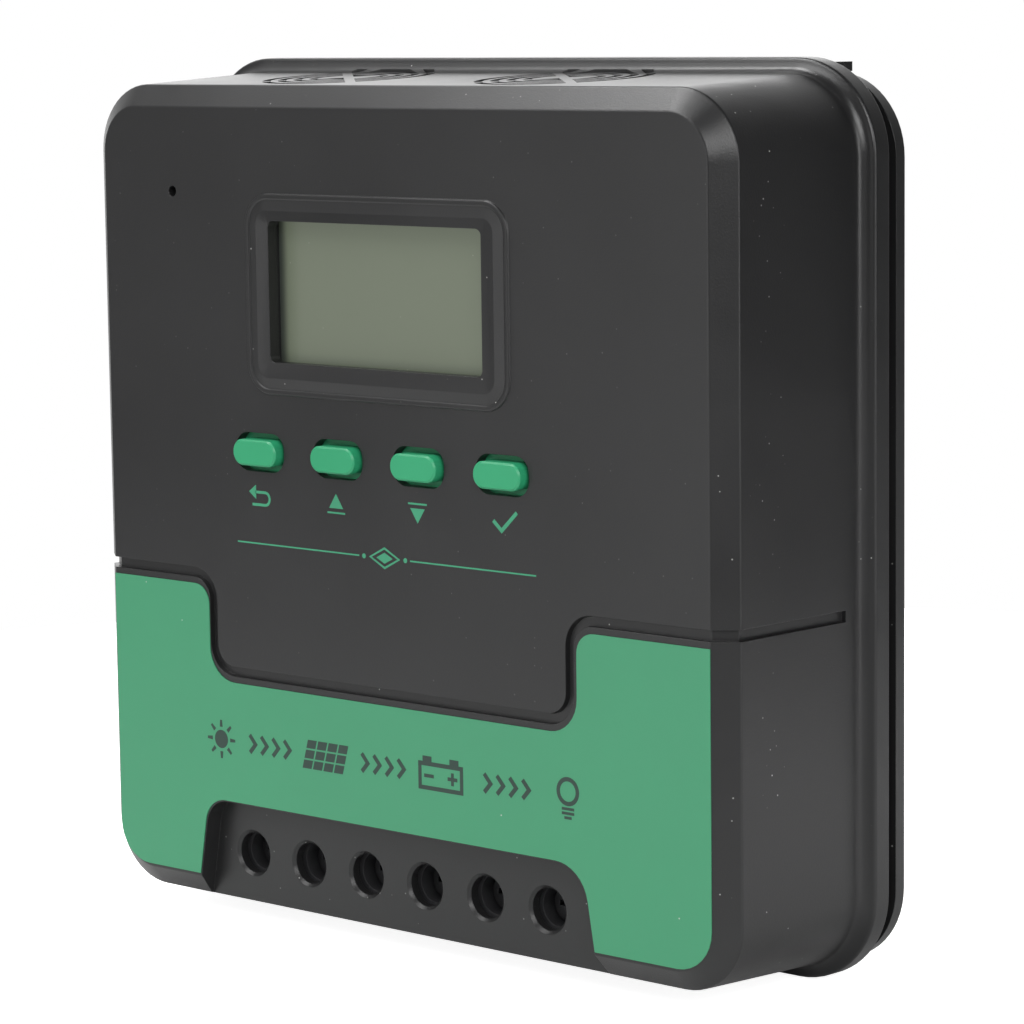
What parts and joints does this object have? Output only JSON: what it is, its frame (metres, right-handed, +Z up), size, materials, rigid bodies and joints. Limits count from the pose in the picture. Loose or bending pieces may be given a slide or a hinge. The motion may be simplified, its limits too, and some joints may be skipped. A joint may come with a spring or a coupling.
{
  "type": "battery charge controller",
  "caption": "Wall-mounted charge controller: moulded case on a metal plate with display, push buttons, top fans and bottom cable terminals",
  "frame": {"origin": "centre of the wall plane behind the back plate, midway between the four wall holes", "axes": "+Z up, +X to the viewer's right, and the front faces -Y; +Y points into the wall"},
  "size_m": [0.1944, 0.0596, 0.1944],
  "materials": {
    "case_black": "fine moulded grain",
    "plate_black": "satin black paint",
    "label_green": "satin printed film",
    "button_green": "smooth moulded",
    "lcd_glass": "anti-glare polariser",
    "lcd_light": "light guide",
    "board_green": "solder mask",
    "chip_black": "moulded epoxy",
    "led_clear": "clear resin",
    "plunger_cream": "moulded",
    "fan_black": "moulded",
    "steel": "zinc plated",
    "brass": "turned",
    "copper": "bare or enamelled copper",
    "aluminium": "extruded, bare",
    "pad_grey": "silicone",
    "can_blue": "shrink sleeve",
    "core_yellow": "powder coat",
    "shunt_alloy": "bare manganin",
    "fuse_orange": "translucent moulded",
    "wire_red": "insulation",
    "ribbon_grey": "insulation",
    "clamp_nickel": "nickel plated brass"
  },
  "bodies": {
    "root": {"front_cover": "case_black", "back_plate": "plate_black", "front_label": "label_green", "lcd_glass": "lcd_glass", "lcd_frame": "case_black", "lcd_backlight": "lcd_light", "control_board": "board_green", "board_chips": "chip_black", "status_led": "led_clear", "switch_bodies": "chip_black", "fan_frame_left": "fan_black", "fan_frame_right": "fan_black", "fan_bearings": "brass", "fan_stators": "copper", "fan_screws": "steel", "fan_cables": "wire_red", "terminal_block": "chip_black", "current_bars": "copper", "power_board": "board_green", "board_standoffs": "brass", "board_screws": "steel", "heatsink": "aluminium", "heatsink_screws": "steel", "mosfets": "chip_black", "mosfet_screws": "steel", "thermal_pads": "pad_grey", "capacitors": "can_blue", "inductor_core": "core_yellow", "inductor_winding": "copper", "current_shunts": "shunt_alloy", "fuse_holders": "chip_black", "fuses": "fuse_orange", "ribbon_cable": "ribbon_grey", "cover_screws": "steel", "display_screws": "steel"},
    "button_escape": {"button_escape": "button_green", "plunger_escape": "plunger_cream"},
    "button_up": {"button_up": "button_green", "plunger_up": "plunger_cream"},
    "button_down": {"button_down": "button_green", "plunger_down": "plunger_cream"},
    "button_enter": {"button_enter": "button_green", "plunger_enter": "plunger_cream"},
    "fan_left": {"impeller_left": "fan_black", "fan_shaft_left": "steel"},
    "fan_right": {"impeller_right": "fan_black", "fan_shaft_right": "steel"},
    "screw_1": {"terminal_screw_1": "steel"},
    "screw_2": {"terminal_screw_2": "steel"},
    "screw_3": {"terminal_screw_3": "steel"},
    "screw_4": {"terminal_screw_4": "steel"},
    "screw_5": {"terminal_screw_5": "steel"},
    "screw_6": {"terminal_screw_6": "steel"},
    "clamp_1": {"clamp_1": "clamp_nickel"},
    "clamp_2": {"clamp_2": "clamp_nickel"},
    "clamp_3": {"clamp_3": "clamp_nickel"},
    "clamp_4": {"clamp_4": "clamp_nickel"},
    "clamp_5": {"clamp_5": "clamp_nickel"},
    "clamp_6": {"clamp_6": "clamp_nickel"}
  },
  "joints": [
    {"name": "press_escape", "type": "slide", "parent": "root", "child": "button_escape", "axis": [0, 1, 0], "range_m": [0, 0.0005], "stiffness_N_per_m": 2000, "springref_m": -0.0002},
    {"name": "press_up", "type": "slide", "parent": "root", "child": "button_up", "axis": [0, 1, 0], "range_m": [0, 0.0005], "stiffness_N_per_m": 2000, "springref_m": -0.0002},
    {"name": "press_down", "type": "slide", "parent": "root", "child": "button_down", "axis": [0, 1, 0], "range_m": [0, 0.0005], "stiffness_N_per_m": 2000, "springref_m": -0.0002},
    {"name": "press_enter", "type": "slide", "parent": "root", "child": "button_enter", "axis": [0, 1, 0], "range_m": [0, 0.0005], "stiffness_N_per_m": 2000, "springref_m": -0.0002},
    {"name": "spin_fan_left", "type": "hinge", "parent": "root", "child": "fan_left", "pos_m": [-0.0351, -0.0315, 0.083], "axis": [0, 0, 1], "continuous": true},
    {"name": "spin_fan_right", "type": "hinge", "parent": "root", "child": "fan_right", "pos_m": [0.0281, -0.0315, 0.083], "axis": [0, 0, 1], "continuous": true},
    {"name": "turn_screw_1", "type": "hinge", "parent": "root", "child": "screw_1", "pos_m": [-0.0486, -0.0432, -0.081], "axis": [0, 1, 0], "range_deg": [0, 2881]},
    {"name": "lift_clamp_1", "type": "slide", "parent": "root", "child": "clamp_1", "axis": [0, -1, 0], "range_m": [0, 0.0064]},
    {"name": "turn_screw_2", "type": "hinge", "parent": "root", "child": "screw_2", "pos_m": [-0.031, -0.0432, -0.081], "axis": [0, 1, 0], "range_deg": [0, 2881]},
    {"name": "lift_clamp_2", "type": "slide", "parent": "root", "child": "clamp_2", "axis": [0, -1, 0], "range_m": [0, 0.0064]},
    {"name": "turn_screw_3", "type": "hinge", "parent": "root", "child": "screw_3", "pos_m": [-0.0134, -0.0432, -0.081], "axis": [0, 1, 0], "range_deg": [0, 2881]},
    {"name": "lift_clamp_3", "type": "slide", "parent": "root", "child": "clamp_3", "axis": [0, -1, 0], "range_m": [0, 0.0064]},
    {"name": "turn_screw_4", "type": "hinge", "parent": "root", "child": "screw_4", "pos_m": [0.0042, -0.0432, -0.081], "axis": [0, 1, 0], "range_deg": [0, 2881]},
    {"name": "lift_clamp_4", "type": "slide", "parent": "root", "child": "clamp_4", "axis": [0, -1, 0], "range_m": [0, 0.0064]},
    {"name": "turn_screw_5", "type": "hinge", "parent": "root", "child": "screw_5", "pos_m": [0.0218, -0.0432, -0.081], "axis": [0, 1, 0], "range_deg": [0, 2881]},
    {"name": "lift_clamp_5", "type": "slide", "parent": "root", "child": "clamp_5", "axis": [0, -1, 0], "range_m": [0, 0.0064]},
    {"name": "turn_screw_6", "type": "hinge", "parent": "root", "child": "screw_6", "pos_m": [0.0394, -0.0432, -0.081], "axis": [0, 1, 0], "range_deg": [0, 2881]},
    {"name": "lift_clamp_6", "type": "slide", "parent": "root", "child": "clamp_6", "axis": [0, -1, 0], "range_m": [0, 0.0064]}
  ],
  "couplings": [
    {"joint": "turn_screw_1", "follows": "lift_clamp_1", "rad_per_m": 7854},
    {"joint": "turn_screw_2", "follows": "lift_clamp_2", "rad_per_m": 7854},
    {"joint": "turn_screw_3", "follows": "lift_clamp_3", "rad_per_m": 7854},
    {"joint": "turn_screw_4", "follows": "lift_clamp_4", "rad_per_m": 7854},
    {"joint": "turn_screw_5", "follows": "lift_clamp_5", "rad_per_m": 7854},
    {"joint": "turn_screw_6", "follows": "lift_clamp_6", "rad_per_m": 7854}
  ]
}
